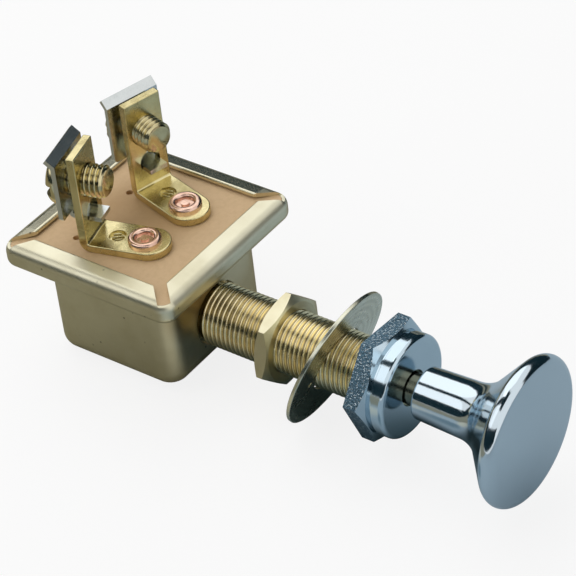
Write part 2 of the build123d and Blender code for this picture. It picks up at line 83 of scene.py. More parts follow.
class NodeSheet:
    """A node tree with short ways to add nodes and to wire them."""

    def __init__(self, tree: bpy.types.NodeTree) -> None:
        """Keep the tree that the nodes go into.

        Args:
            tree: the tree of a material, a world or a group.
        """
        self.tree = tree

    def add(
        self, kind: str, settings: Dict[str, object] | None = None, **inputs: object
    ) -> bpy.types.Node:
        """Add a node.

        Args:
            kind: the node's type name.
            settings: properties of the node itself.
            inputs: socket values, or sockets to wire from; a name's underscores stand for spaces.

        Returns:
            The new node.
        """
        node = self.tree.nodes.new(kind)
        for key, value in (settings or {}).items():
            setattr(node, key, value)
        self.fill(node, inputs)
        return node

    def fill(self, node: bpy.types.Node, inputs: Dict[str, object]) -> None:
        """Feed a node's inputs.

        Args:
            node: the node.
            inputs: as add takes them.
        """
        for key, value in inputs.items():
            self.feed(node.inputs[key.replace("_", " ")], value)

    def feed(self, socket: Socket, value: object) -> None:
        """Wire a socket to another, or set its value.

        Args:
            socket: the input.
            value: an output socket, a colour or a number.
        """
        if isinstance(value, Socket):
            self.tree.links.new(value, socket)
        elif socket.type == "RGBA":
            socket.default_value = (*value, 1.0)
        else:
            socket.default_value = value

    def group(self, tree: bpy.types.NodeTree, **inputs: object) -> bpy.types.NodeOutputs:
        """Place a node group.

        Args:
            tree: the group.
            inputs: socket values, or sockets to wire from.

        Returns:
            The group's outputs.
        """
        return self.add("ShaderNodeGroup", {"node_tree": tree}, **inputs).outputs

    def parts(self, vector: Socket) -> bpy.types.NodeOutputs:
        """Split a vector.

        Args:
            vector: the vector.

        Returns:
            Its X, Y and Z.
        """
        return self.add("ShaderNodeSeparateXYZ", Vector=vector).outputs

    def maths(
        self, operation: str, first: object, second: object = 0.0, clamp: bool = False
    ) -> Socket:
        """Add a Math node.

        Args:
            operation: what it does.
            first: a number, or a socket to wire from.
            second: another.
            clamp: keep the result between nought and one.

        Returns:
            The result.
        """
        node = self.add("ShaderNodeMath", {"operation": operation, "use_clamp": clamp})
        self.feed(node.inputs[0], first)
        self.feed(node.inputs[1], second)
        return node.outputs[0]

    def vectors(self, operation: str, *given: object) -> bpy.types.NodeOutputs:
        """Add a Vector Math node.

        Args:
            operation: what it does.
            given: vectors, or sockets to wire from.

        Returns:
            The node's outputs, Vector and Value.
        """
        node = self.add("ShaderNodeVectorMath", {"operation": operation})
        for socket, value in zip(node.inputs, given):
            self.feed(socket, value)
        return node.outputs

    def ramp(
        self, value: Socket, low: float, high: float, start: object = 0.0, end: object = 1.0
    ) -> Socket:
        """Stretch a value smoothly from one span to another.

        Args:
            value: the value.
            low: where the first span starts.
            high: where it ends.
            start: where the second span starts, as a number or a socket.
            end: where it ends.

        Returns:
            The stretched value.
        """
        node = self.add(
            "ShaderNodeMapRange",
            {"interpolation_type": "SMOOTHSTEP"},
            Value=value, From_Min=low, From_Max=high, To_Min=start, To_Max=end,
        )
        return node.outputs["Result"]

    def mix(self, share: Socket, first: object, second: object) -> Socket:
        """Mix two colours or vectors.

        Args:
            share: how much of the second shows.
            first: a colour, or a socket to wire from.
            second: another.

        Returns:
            The mixture.
        """
        node = self.add("ShaderNodeMix", {"data_type": "RGBA"})
        self.feed(node.inputs["Factor"], share)
        self.feed(node.inputs[6], first)
        self.feed(node.inputs[7], second)
        return node.outputs[2]

    def noise(self, vector: Socket, scale: object, detail: float, roughness: float = 0.5) -> Socket:
        """Add a Noise node.

        Args:
            vector: where it is looked up.
            scale: how fine it is.
            detail: layers of finer noise in it.
            roughness: how much those layers count.

        Returns:
            The noise, from nought to one.
        """
        given = {"Vector": vector, "Scale": scale, "Detail": detail, "Roughness": roughness}
        return self.add("ShaderNodeTexNoise", **given).outputs["Fac"]


class MaterialSheet(NodeSheet):
    """The sheet of a new material."""

    def __init__(self, name: str) -> None:
        """Start the material.

        Args:
            name: the material's name.
        """
        self.material = bpy.data.materials.new(name)
        self.material.use_nodes = True
        super().__init__(self.material.node_tree)
        self.shader = self.tree.nodes["Principled BSDF"]

    @cached_property
    def place(self) -> Socket:
        """The object's coordinates."""
        return self.add("ShaderNodeTexCoord").outputs["Object"]

    def coat(self, **inputs: object) -> None:
        """Feed the Principled node.

        Args:
            inputs: as add takes them.
        """
        self.fill(self.shader, inputs)

    def bump(self, height: Socket, depth: float) -> None:
        """Bump the surface by a height.

        Args:
            height: the height, from nought to one.
            depth: its full size in millimetres.
        """
        bump = self.add("ShaderNodeBump", Strength=1.0, Distance=depth * MM, Height=height)
        self.coat(Normal=bump.outputs["Normal"])


@dataclass(frozen=True)
class Spot:
    """A soft oval spot of another colour, in millimetres."""

    tint: Colour
    centre: Point
    size: Point

    def over(self, sheet: MaterialSheet, colour: Socket, amount: float = 1.0) -> Socket:
        """Lay the spot over a colour.

        Args:
            sheet: the material's sheet.
            colour: the colour underneath.
            amount: how much of the spot's colour shows in its middle.

        Returns:
            The colour with the spot on it.
        """
        centre, size = metres(self.centre), metres(self.size)
        mask = sheet.group(SHELF.spot, Vector=sheet.place, Centre=centre, Size=size)["Mask"]
        return sheet.mix(sheet.maths("MULTIPLY", mask, amount), colour, self.tint)


class GroupShelf:
    """The shader node groups, each built once and placed in many materials."""

    PATCH_SPAN: Span = (0.35, 0.75)
    SPECK_EDGE: float = 0.15
    SPOT_SPAN: Span = (0.4, 1.25)

    def _start(
        self, name: str, inputs: Sockets, outputs: Sockets
    ) -> Tuple[NodeSheet, bpy.types.NodeOutputs]:
        """Make a group with its sockets, the first of them a Vector.

        Args:
            name: the group's name.
            inputs: names and kinds of the other input sockets.
            outputs: names and kinds of the output sockets.

        Returns:
            A sheet on the new group's tree, and what the group is given.
        """
        tree = bpy.data.node_groups.new(name, "ShaderNodeTree")
        for way, sockets in (("INPUT", {"Vector": "Vector", **inputs}), ("OUTPUT", outputs)):
            for label, kind in sockets.items():
                tree.interface.new_socket(label, in_out=way, socket_type=f"NodeSocket{kind}")
        sheet = NodeSheet(tree)
        return sheet, sheet.add("NodeGroupInput").outputs

    @cached_property
    def patina(self) -> bpy.types.NodeTree:
        """Cloudy wear: a colour between the clean one and the aged one, and its mask."""
        sheet, given = self._start(
            "Patina",
            {"Scale": "Float", "Amount": "Float", "Clean": "Color", "Aged": "Color"},
            {"Color": "Color", "Mask": "Float"},
        )
        cloud = sheet.noise(given["Vector"], given["Scale"], detail=6.0, roughness=0.6)
        patch = sheet.ramp(cloud, *self.PATCH_SPAN)
        mask = sheet.maths("MULTIPLY", patch, given["Amount"], clamp=True)
        colour = sheet.mix(mask, given["Clean"], given["Aged"])
        sheet.add("NodeGroupOutput", Color=colour, Mask=mask)
        return sheet.tree

    @cached_property
    def scratches(self) -> bpy.types.NodeTree:
        """Fine lines drawn along one direction, as a height."""
        inputs = {"Stretch": "Vector", "Scale": "Float"}
        sheet, given = self._start("Scratches", inputs, {"Height": "Float"})
        drawn = sheet.vectors("MULTIPLY", given["Vector"], given["Stretch"])["Vector"]
        lines = sheet.noise(drawn, given["Scale"], detail=4.0, roughness=0.7)
        sheet.add("NodeGroupOutput", Height=lines)
        return sheet.tree

    @cached_property
    def pits(self) -> bpy.types.NodeTree:
        """Small dents and specks, as a height and a mask of the specks."""
        inputs = {"Scale": "Float", "Share": "Float"}
        sheet, given = self._start("Pits", inputs, {"Height": "Float", "Specks": "Float"})
        grain = sheet.noise(given["Vector"], given["Scale"], detail=3.0, roughness=0.55)
        spots = sheet.add("ShaderNodeTexVoronoi", Vector=given["Vector"], Scale=given["Scale"])
        near = sheet.maths("SUBTRACT", given["Share"], spots.outputs["Distance"])
        specks = sheet.ramp(near, 0.0, self.SPECK_EDGE)
        sheet.add("NodeGroupOutput", Height=grain, Specks=specks)
        return sheet.tree

    @cached_property
    def spot(self) -> bpy.types.NodeTree:
        """A soft round or oval spot: one in its middle, nought outside."""
        inputs = {"Centre": "Vector", "Size": "Vector"}
        sheet, given = self._start("Spot", inputs, {"Mask": "Float"})
        apart = sheet.vectors("SUBTRACT", given["Vector"], given["Centre"])["Vector"]
        spread = sheet.vectors("DIVIDE", apart, given["Size"])["Vector"]
        far = sheet.vectors("LENGTH", spread)["Value"]
        sheet.add("NodeGroupOutput", Mask=sheet.ramp(far, *self.SPOT_SPAN, 1.0, 0.0))
        return sheet.tree

    @cached_property
    def radius(self) -> bpy.types.NodeTree:
        """Distances from an axis and along it.

        The point is swung about a centre until the axis lies along Y.
        """
        inputs = {"Centre": "Vector", "Swing": "Vector"}
        sheet, given = self._start("Radius", inputs, {"Radius": "Float", "Along": "Float"})
        swung = sheet.add(
            "ShaderNodeVectorRotate",
            {"rotation_type": "EULER_XYZ"},
            Vector=given["Vector"], Center=given["Centre"], Rotation=given["Swing"],
        )
        apart = sheet.vectors("SUBTRACT", swung.outputs["Vector"], given["Centre"])["Vector"]
        parts = sheet.parts(apart)
        across = sheet.maths("MULTIPLY", parts["X"], parts["X"])
        up = sheet.maths("MULTIPLY", parts["Z"], parts["Z"])
        radius = sheet.maths("SQRT", sheet.maths("ADD", across, up))
        sheet.add("NodeGroupOutput", Radius=radius, Along=parts["Y"])
        return sheet.tree


SHELF = GroupShelf()


# Finishes


@dataclass(frozen=True)
class Finish:
    """A surface: clean and aged colours, gloss, grain, dark specks of wear, and a spot that is a
    stain on some finishes and painted shade on others.
    """

    name: str
    clean: Colour
    aged: Colour
    roughness: float
    dull: float
    patch_scale: float = 160.0
    patch_amount: float = 0.6
    grain_stretch: Point = (1.0, 1.0, 1.0)
    grain_scale: float = 3000.0
    grain_depth: float = 0.0
    speck_scale: float = 700.0
    speck_share: float = 0.0
    speck_tint: Colour = (0.10, 0.09, 0.06)
    stain_and_shade: Spot | None = None
    stain_and_shade_amount: float = 0.75
    metallic: float = 1.0

    def build(self) -> bpy.types.Material:
        """Make the material.

        Returns:
            The new material.
        """
        sheet = MaterialSheet(self.name)
        patina = sheet.group(
            SHELF.patina,
            Vector=sheet.place, Scale=self.patch_scale, Amount=self.patch_amount,
            Clean=self.clean, Aged=self.aged,
        )
        colour, roughness = self.dirt_and_painted_light(sheet, patina["Color"]), self.gloss(sheet, patina["Mask"])
        sheet.coat(Base_Color=colour, Roughness=roughness, Metallic=self.metallic)
        self.relief(sheet)
        return sheet.material

    def gloss(self, sheet: MaterialSheet, mask: Socket) -> Socket | float:
        """Dull the surface where it has aged.

        Args:
            sheet: the material's sheet.
            mask: how far the surface has aged.

        Returns:
            The roughness.
        """
        if self.dull == self.roughness:
            return self.roughness
        return sheet.ramp(mask, 0.0, 1.0, self.roughness, self.dull)

    def dirt_and_painted_light(self, sheet: MaterialSheet, colour: Socket) -> Socket:
        """Speck the surface, and lay on its spot where the finish asks for it: a stain on the case,
        painted shade on the board between the terminals.

        Args:
            sheet: the material's sheet.
            colour: the surface's own colour.

        Returns:
            The colour with its specks and its spot.
        """
        if self.speck_share > 0:
            scale, share = self.speck_scale, self.speck_share
            pits = sheet.group(SHELF.pits, Vector=sheet.place, Scale=scale, Share=share)
            colour = sheet.mix(pits["Specks"], colour, self.speck_tint)
        if self.stain_and_shade is not None:
            colour = self.stain_and_shade.over(sheet, colour, self.stain_and_shade_amount)
        return colour

    def relief(self, sheet: MaterialSheet) -> None:
        """Give the surface the fine grain that rolling or drawing leaves.

        Args:
            sheet: the material's sheet.
        """
        if self.grain_depth > 0:
            stretch, scale = self.grain_stretch, self.grain_scale
            lines = sheet.group(SHELF.scratches, Vector=sheet.place, Stretch=stretch, Scale=scale)
            sheet.bump(lines["Height"], self.grain_depth)


@dataclass(frozen=True)
class CrimpedFinish(Finish):
    """A drawn sheet, rubbed by the crimping tool on its far lips."""

    right_lip: float = 10.6
    rear_lip: float = 21.8
    lip_foot: float = 9.5
    fade: float = 0.8
    rubbed: float = 0.235

    def gloss(self, sheet: MaterialSheet, mask: Socket) -> Socket:
        """Polish the far lips.

        Args:
            sheet: the material's sheet.
            mask: how far the surface has aged.

        Returns:
            The roughness.
        """
        spot = sheet.parts(sheet.place)
        right = self.past(sheet, spot["X"], self.right_lip)
        behind_front = self.past(sheet, spot["Y"], 0.0)
        rear = self.past(sheet, spot["Y"], self.rear_lip)
        inside_left = self.past(sheet, spot["X"], -self.right_lip)
        right_lip = sheet.maths("MULTIPLY", right, behind_front)
        rear_lip = sheet.maths("MULTIPLY", rear, inside_left)
        lips = sheet.maths("MAXIMUM", right_lip, rear_lip)
        lips = sheet.maths("MULTIPLY", lips, self.past(sheet, spot["Z"], self.lip_foot))
        return sheet.ramp(lips, 0.0, 1.0, super().gloss(sheet, mask), self.rubbed)

    def past(self, sheet: MaterialSheet, along: Socket, start: float) -> Socket:
        """Tell one side of a place from the other.

        Args:
            sheet: the material's sheet.
            along: the coordinate along an axis.
            start: the place on that axis, in millimetres.

        Returns:
            One past the place, nought before it.
        """
        return sheet.ramp(along, start * MM, (start + self.fade) * MM)


@dataclass(frozen=True)
class TurnedFinish(Finish):
    """A metal turned about an axis, which the finish counts radii from."""

    centre: Point = (0.0, 0.0, 0.0)
    swing: Point = (0.0, 0.0, 0.0)

    def axis(self, sheet: MaterialSheet) -> bpy.types.NodeOutputs:
        """Measure from the axis and along it.

        Args:
            sheet: the material's sheet.

        Returns:
            Radius and Along, in metres.
        """
        centre, swing = metres(self.centre), tuple(math.radians(x) for x in self.swing)
        return sheet.group(SHELF.radius, Vector=sheet.place, Centre=centre, Swing=swing)


@dataclass(frozen=True)
class ThreadFinish(TurnedFinish):
    """A threaded metal, with its roots darkened by old grease and by painted shade."""

    crest: float = 4.7625
    depth: float = 0.47
    start: float = 0.75
    end: float = -32.3
    grease_and_shade: Colour = (0.10, 0.075, 0.035)
    grease_and_shade_amount: float = 0.7
    clean_share: float = 0.6

    def dirt_and_painted_light(self, sheet: MaterialSheet, colour: Socket) -> Socket:
        """Darken the roots between the thread's two ends, as old grease and painted shade in the
        hollows.

        Args:
            sheet: the material's sheet.
            colour: the surface's own colour.

        Returns:
            The colour with its grease and painted shade.
        """
        root = (self.crest - self.depth) * MM
        clean = (self.crest - self.clean_share * self.depth) * MM
        spot = self.axis(sheet)
        # Grease and painted shade: the deeper in the thread's roots, the darker.
        sunk = sheet.ramp(spot["Radius"], root, clean, self.grease_and_shade_amount, 0.0)
        after = sheet.maths("LESS_THAN", spot["Along"], self.start * MM)
        before = sheet.maths("GREATER_THAN", spot["Along"], self.end * MM)
        threaded = sheet.maths("MULTIPLY", after, before)
        return sheet.mix(sheet.maths("MULTIPLY", sunk, threaded), colour, self.grease_and_shade)


@dataclass(frozen=True)
class RingFinish(TurnedFinish):
    """A metal disc with the fine rings of the lathe, and tarnish that follows them."""

    ring_pitch: float = 1.1
    ring_depth: float = 0.012
    ring_tint: Colour = (0.40, 0.40, 0.30)
    ring_amount: float = 0.45
    bend_scale: float = 180.0

    def rings(self, sheet: MaterialSheet) -> Socket:
        """Draw soft rings, bent a little out of round.

        Args:
            sheet: the material's sheet.

        Returns:
            The rings, from nought to one.
        """
        per_metre = math.tau / (self.ring_pitch * MM)
        turns = sheet.maths("MULTIPLY", self.axis(sheet)["Radius"], per_metre)
        cloud = sheet.noise(sheet.place, self.bend_scale, detail=2.0)
        bent = sheet.maths("ADD", turns, sheet.maths("MULTIPLY", cloud, math.tau))
        return sheet.maths("ADD", sheet.maths("MULTIPLY", sheet.maths("SINE", bent), 0.5), 0.5)

    def dirt_and_painted_light(self, sheet: MaterialSheet, colour: Socket) -> Socket:
        """Tarnish every other ring.

        Args:
            sheet: the material's sheet.
            colour: the surface's own colour.

        Returns:
            The colour with its tarnish.
        """
        share = sheet.maths("MULTIPLY", self.rings(sheet), self.ring_amount)
        return sheet.mix(share, colour, self.ring_tint)

    def relief(self, sheet: MaterialSheet) -> None:
        """Raise the rings.

        Args:
            sheet: the material's sheet.
        """
        sheet.bump(self.rings(sheet), self.ring_depth)


@dataclass(frozen=True)
class NutFinish(TurnedFinish):
    """Bright plate on the collar, with the flats of the hexagon roughened and painted: a dark
    painted reflection with painted bright glints.
    """

    collar_radius: float = 7.74
    collar_fade: float = 0.12
    flat_depth: float = 0.045
    flat_scale: float = 3800.0
    flat_stretch: Point = (1.0, 0.8, 1.0)
    flat_roughness: float = 0.13
    flat_painted_dark: Colour = (0.16, 0.28, 0.37)
    flat_painted_glint: Colour = (0.84, 0.94, 1.0)
    flat_lean: float = 0.1
    glint_span: Span = (0.53, 0.68)

    def on_flats(self, sheet: MaterialSheet) -> Socket:
        """Tell the flats from the collar, the bevel and the two ends.

        Args:
            sheet: the material's sheet.

        Returns:
            One on the flats, nought elsewhere.
        """
        start = self.collar_radius * MM
        radius = self.axis(sheet)["Radius"]
        outside = sheet.ramp(radius, start, start + self.collar_fade * MM)
        facing = sheet.add("ShaderNodeNewGeometry").outputs["True Normal"]
        lean = sheet.maths("ABSOLUTE", sheet.parts(facing)["Y"])
        return sheet.maths("MULTIPLY", outside, sheet.maths("LESS_THAN", lean, self.flat_lean))

    def dirt_and_painted_light(self, sheet: MaterialSheet, colour: Socket) -> Socket:
        """Paint the flats dark between bright specks: a painted reflection with painted glints.

        Args:
            sheet: the material's sheet.
            colour: the surface's own colour.

        Returns:
            The colour with its painted reflection and glints.
        """
        # Painted reflection: the flats are coloured dark, with bright painted glints, as if
        # mirroring dark cards and lamps.
        cloud = sheet.noise(sheet.place, self.flat_scale, detail=2.0)
        specks = sheet.ramp(cloud, *self.glint_span)
        flats = sheet.mix(specks, self.flat_painted_dark, self.flat_painted_glint)
        return sheet.mix(self.on_flats(sheet), colour, flats)

    def gloss(self, sheet: MaterialSheet, mask: Socket) -> Socket:
        """Give the flats a gloss of their own.

        Args:
            sheet: the material's sheet.
            mask: how far the surface has aged.

        Returns:
            The roughness.
        """
        polished = super().gloss(sheet, mask)
        return sheet.ramp(self.on_flats(sheet), 0.0, 1.0, polished, self.flat_roughness)

    def relief(self, sheet: MaterialSheet) -> None:
        """Roughen the flats only.

        Args:
            sheet: the material's sheet.
        """
        stretch, scale = self.flat_stretch, self.flat_scale
        streaks = sheet.group(SHELF.scratches, Vector=sheet.place, Stretch=stretch, Scale=scale)
        height = sheet.maths("MULTIPLY", streaks["Height"], self.on_flats(sheet))
        sheet.bump(height, self.flat_depth)


@dataclass(frozen=True)
class DomeFinish(TurnedFinish):
    """Bright plate on a knob, shaded true to its domed face round the middle."""

    dome_radius: float = 160.0
    middle_radius: float = 2.5
    face_start: float = -50.0

    def relief(self, sheet: MaterialSheet) -> None:
        """Grain the plate over the dome's own slope.

        Args:
            sheet: the material's sheet.
        """
        super().relief(sheet)
        across = 1 / (self.dome_radius * MM)
        slope = sheet.vectors("MULTIPLY_ADD", sheet.place, (across, 0, across), (0, -1, 0))
        spaces = {"vector_type": "NORMAL", "convert_from": "OBJECT", "convert_to": "WORLD"}
        turned = sheet.add("ShaderNodeVectorTransform", spaces, Vector=slope["Vector"])
        middle = sheet.maths("LESS_THAN", self.axis(sheet)["Radius"], self.middle_radius * MM)
        face = sheet.maths("LESS_THAN", sheet.parts(sheet.place)["Y"], self.face_start * MM)
        smooth = sheet.add("ShaderNodeNewGeometry").outputs["Normal"]
        bump = sheet.shader.inputs["Normal"].links[0].from_node
        here = sheet.maths("MULTIPLY", middle, face)
        sheet.feed(bump.inputs["Normal"], sheet.mix(here, smooth, turned.outputs["Vector"]))


@dataclass(frozen=True)
class FibreFinish(Finish):
    """Pressed fibre or moulded insulation: matte and flecked, with dents for its grain."""

    grain_depth: float = 0.02
    metallic: float = 0.0

    def relief(self, sheet: MaterialSheet) -> None:
        """Dent the surface.

        Args:
            sheet: the material's sheet.
        """
        pits = sheet.group(SHELF.pits, Vector=sheet.place, Scale=self.patch_scale)
        sheet.bump(pits["Height"], self.grain_depth)


CASE_BRASS = CrimpedFinish(
    "case_brass", (0.76, 0.725, 0.55), (0.58, 0.53, 0.35), 0.34, 0.44, 110.0, 0.6,
    grain_scale=2600.0, grain_depth=0.006, speck_scale=420.0, speck_share=0.12,
    stain_and_shade=Spot((0.36, 0.245, 0.09), (-6.0, -1.0, 5.2), (7.5, 3.5, 4.8)),
)
# Painted shade: the shaft's brass is made dark for the shadow of the collar's recess and the knob's
# hub.
SHADED_TURNED_BRASS = Finish(
    "turned_brass", (0.27, 0.26, 0.19), (0.18, 0.165, 0.105), 0.20, 0.34, 400.0, 0.6
)
STEM_BRASS = ThreadFinish(
    "stem_brass", (0.92, 0.81, 0.52), (0.74, 0.61, 0.35), 0.23, 0.31, 300.0, 0.6
)
NUT_BRASS = Finish(
    "nut_brass", (0.74, 0.695, 0.50), (0.60, 0.535, 0.33), 0.28, 0.40, 200.0, 0.6, grain_depth=0.004
)
WASHER_BRASS = RingFinish(
    "washer_brass", (0.76, 0.76, 0.62), (0.60, 0.57, 0.42), 0.24, 0.36, 240.0, 0.6,
    centre=(0.0, -20.6, 0.0), swing=(-19.2, 0.0, 0.0),
)
TERMINAL_BRASS = Finish(
    "terminal_brass", (0.76, 0.67, 0.37), (0.46, 0.385, 0.17), 0.20, 0.34, 260.0, 0.9,
    grain_scale=2400.0, grain_depth=0.012,
)
CONTACT_BRASS = Finish(
    "contact_brass", (0.70, 0.56, 0.28), (0.55, 0.40, 0.18), 0.22, 0.4, 260.0, 0.6
)
RIVET_COPPER = Finish(
    "rivet_copper", (0.86, 0.60, 0.48), (0.58, 0.35, 0.26), 0.18, 0.30, 500.0, 0.9
)
CLAMP_STEEL = Finish(
    "clamp_steel", (0.68, 0.71, 0.70), (0.52, 0.56, 0.56), 0.18, 0.32, 300.0, 0.5
)
BRIGHT_CHROME = DomeFinish(
    "bright_chrome", (0.62, 0.71, 0.77), (0.58, 0.67, 0.73), 0.10, 0.15, 90.0, 0.5,
    grain_scale=500.0, grain_depth=0.010,
)
NUT_CHROME = NutFinish(
    "nut_chrome", (0.57, 0.69, 0.765), (0.53, 0.65, 0.725), 0.12, 0.18, 200.0, 0.5
)
# Painted shade: the board's spot darkens it between the terminals.
FIBRE_BOARD = FibreFinish(
    "fibre_board", (0.65, 0.455, 0.255), (0.56, 0.38, 0.205), 0.62, 0.62, 1500.0, 0.5,
    stain_and_shade=Spot((0.40, 0.235, 0.09), (0.0, 13.5, 12.35), (8.5, 10.0, 20.0)), stain_and_shade_amount=0.6,
)
MOULDED_BLOCK = FibreFinish(
    "moulded_block", (0.05, 0.035, 0.028), (0.09, 0.06, 0.045), 0.45, 0.45, 900.0, 0.5
)


# Mesh bench

# One turn of a thread: share of the pitch, and share of the thread's height
THREAD_SHAPE = (
    (0.0, 0.0), (0.12, 0.0), (0.2, 0.08), (0.36, 0.6), (0.45, 0.93),
    (0.53, 1.0), (0.59, 1.0), (0.67, 0.93), (0.76, 0.6), (0.92, 0.08),
)

# Turns wound beyond a thread's length, and how many of them come before its start
SPARE_TURNS = 3
LEAD_TURNS = 1.5

# Distances in millimetres within which points are welded, cut and found in a plane
WELD_ROOM = 0.002
CUT_ROOM = 1e-5
PLANE_ROOM = 1e-3


class Bench:
    """A mesh in the making, in millimetres, in the model's own frame."""

    def __init__(self) -> None:
        """Start with no vertices."""
        self.mesh = bmesh.new()

    def spin(
        self, profile: Sequence[Span], steps: int,
        way: int = 1, rise: float = 0.0, merge: bool = True,
    ) -> None:
        """Spin an open profile once round the Y axis.

        Args:
            profile: points as radius and place along Y.
            steps: steps in the turn.
            way: 1 to turn about Y, or -1 to turn about -Y.
            rise: travel along that axis in the turn.
            merge: join the last step to the first.
        """
        line = [self.mesh.verts.new((radius, along, 0.0)) for radius, along in profile]
        edges = [self.mesh.edges.new(pair) for pair in zip(line, line[1:])]
        bmesh.ops.spin(
            self.mesh, geom=line + edges, cent=(0, 0, 0), axis=(0, way, 0),
            dvec=(0, way * rise / steps, 0), angle=math.tau, steps=steps, use_merge=merge,
        )

    def thread(
        self, major: float, depth: float, pitch: float, start: float, end: float, steps: int
    ) -> None:
        """Wind a right-handed thread along -Y, from before start to past end, cut square at both.

        Args:
            major: radius over the crests.
            depth: height of the thread.
            pitch: rise in a turn.
            start: place along Y of the end at the head or wall.
            end: place along Y of the far end.
            steps: steps in a turn.
        """
        turns = math.ceil((start - end) / pitch) + SPARE_TURNS
        first = start + LEAD_TURNS * pitch
        profile = [
            (major - depth * (1 - rise), first - (turn + share) * pitch)
            for turn in range(turns)
            for share, rise in THREAD_SHAPE
        ]
        self.spin(profile, steps, way=-1, rise=pitch, merge=False)
        bmesh.ops.remove_doubles(self.mesh, verts=self.mesh.verts[:], dist=WELD_ROOM)
        self.cut((0, start, 0), (0, 1, 0))
        self.cut((0, end, 0), (0, -1, 0))

    def cut(self, point: Point, normal: Point) -> None:
        """Cut off everything on the far side of a plane.

        Args:
            point: a point of the plane.
            normal: the side that goes.
        """
        everything = self.mesh.verts[:] + self.mesh.edges[:] + self.mesh.faces[:]
        bmesh.ops.bisect_plane(
            self.mesh, geom=everything, dist=CUT_ROOM,
            plane_co=point, plane_no=normal, clear_outer=True,
        )

    def open_edges(self, along: float) -> List[bmesh.types.BMEdge]:
        """Find the open edges that lie across the Y axis.

        Args:
            along: their place along Y.

        Returns:
            The edges.
        """
        return [
            edge
            for edge in self.mesh.edges
            if edge.is_boundary and all(abs(v.co.y - along) < PLANE_ROOM for v in edge.verts)
        ]

    def bridge(self, along: float) -> None:
        """Close the ring between two open loops.

        Args:
            along: the place of both along Y.
        """
        bmesh.ops.bridge_loops(self.mesh, edges=self.open_edges(along))

    def move(self, matrix: Matrix) -> None:
        """Turn or move the whole mesh.

        Args:
            matrix: the move.
        """
        bmesh.ops.transform(self.mesh, matrix=matrix, verts=self.mesh.verts[:])

    def finish(
        self, name: str, material: bpy.types.Material, body: str, slot: str, sharp: float = 50.0
    ) -> bpy.types.Object:
        """Turn the bench's mesh into a piece of the switch.

        Args:
            name: the piece's name.
            material: its finish.
            body: the moving body that carries it.
            slot: the record's material slot; it is not used.
            sharp: angle in degrees above which an edge stays sharp.

        Returns:
            The new object, riding on its body.
        """
        bmesh.ops.recalc_face_normals(self.mesh, faces=self.mesh.faces[:])
        bmesh.ops.scale(self.mesh, vec=(MM, MM, MM), verts=self.mesh.verts[:])
        data = bpy.data.meshes.new(name)
        self.mesh.to_mesh(data)
        self.mesh.free()
        data.shade_smooth()
        data.set_sharp_from_angle(angle=math.radians(sharp))
        data.materials.append(material)
        piece = bpy.data.objects.new(name, data)
        bpy.context.scene.collection.objects.link(piece)
        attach(piece, body)
        LOG.info("%s: %d faces on %s", name, len(data.polygons), body)
        return piece


# Sub-assemblies


@dataclass
class Stem:
    """The threaded stem, its wall relief and its flange inside the case."""

    major: float = 4.7625
    depth: float = 0.47
    pitch: float = 0.79375
    root: float = -0.35
    tip: float = -32.3
    relief: float = 4.2
    wall: float = 0.75
    flange_radius: float = 5.45
    flange_end: float = 1.95
    bore: float = 2.43
    steps: int = 64

    def build(self, finish: bpy.types.Material) -> None:
        """Wind the thread and close it to the flange and the bore.

        Args:
            finish: the stem's material.
        """
        bench = Bench()
        bench.thread(self.major, self.depth, self.pitch, self.root, self.tip, self.steps)
        profile = [
            (self.relief, self.root),
            (self.relief, self.wall),
            (self.flange_radius, self.wall),
            (self.flange_radius, self.flange_end),
            (self.bore, self.flange_end),
            (self.bore, self.tip),
        ]
        bench.spin(profile, self.steps)
        bench.bridge(self.root)
        bench.bridge(self.tip)
        piece = bench.finish("stem_thread", finish, "base", "turned_brass")
        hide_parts("threaded_stem")


@dataclass(frozen=True)
class TerminalSpot:
    """Where a terminal stands: its rivet, and the way that its strip is turned."""

    side: Side
    rivet_aside: float = 4.75
    rivet_back: float = 7.6
    turn: float = 15.0

    def at(self, back: float, height: float) -> Matrix:
        """A place behind the rivet.

        Args:
            back: distance from the rivet towards the strip's bend.
            height: place along Z.

        Returns:
            The placing, with Y along the strip.
        """
        swing = math.radians(self.turn) * -self.side.value
        out = Vector((-math.sin(swing), math.cos(swing), 0)) * back
        spot = Vector((self.side.value * self.rivet_aside, self.rivet_back, height)) + out
        return Matrix.Translation(spot) @ Matrix.Rotation(swing, 4, "Z")


@dataclass
class StampRibs:
    """Plain ribs that stand in the round stamp of a terminal's foot."""

    side: Side
    back: float = 4.2
    floor: float = 13.2
    height: float = 0.32
    width: float = 0.30
    lengths: Tuple[float, ...] = (1.25, 1.8, 1.25)
    spacing: float = 0.66
    slant: float = 28.0
    edge: float = 0.08
    edge_steps: int = 2

    def build(self, finish: bpy.types.Material) -> None:
        """Stand the ribs side by side, with soft edges.

        Args:
            finish: the ribs' material.
        """
        bench = Bench()
        tilt = Matrix.Rotation(math.radians(self.slant), 4, "Z")
        middle = (len(self.lengths) - 1) / 2
        for place, length in enumerate(self.lengths):
            spot = Matrix.Translation(((place - middle) * self.spacing, 0, self.height / 2))
            size = Matrix.Diagonal((self.width, length, self.height, 1))
            bmesh.ops.create_cube(bench.mesh, size=1.0, matrix=tilt @ spot @ size)
        bmesh.ops.bevel(
            bench.mesh, geom=bench.mesh.edges[:], affect="EDGES", offset=self.edge,
            segments=self.edge_steps, profile=0.5, material=-1,
        )
        bench.move(TerminalSpot(self.side).at(self.back, self.floor))
        bench.finish(f"stamp_ribs_{self.side.word}", finish, "base", "terminal_brass")


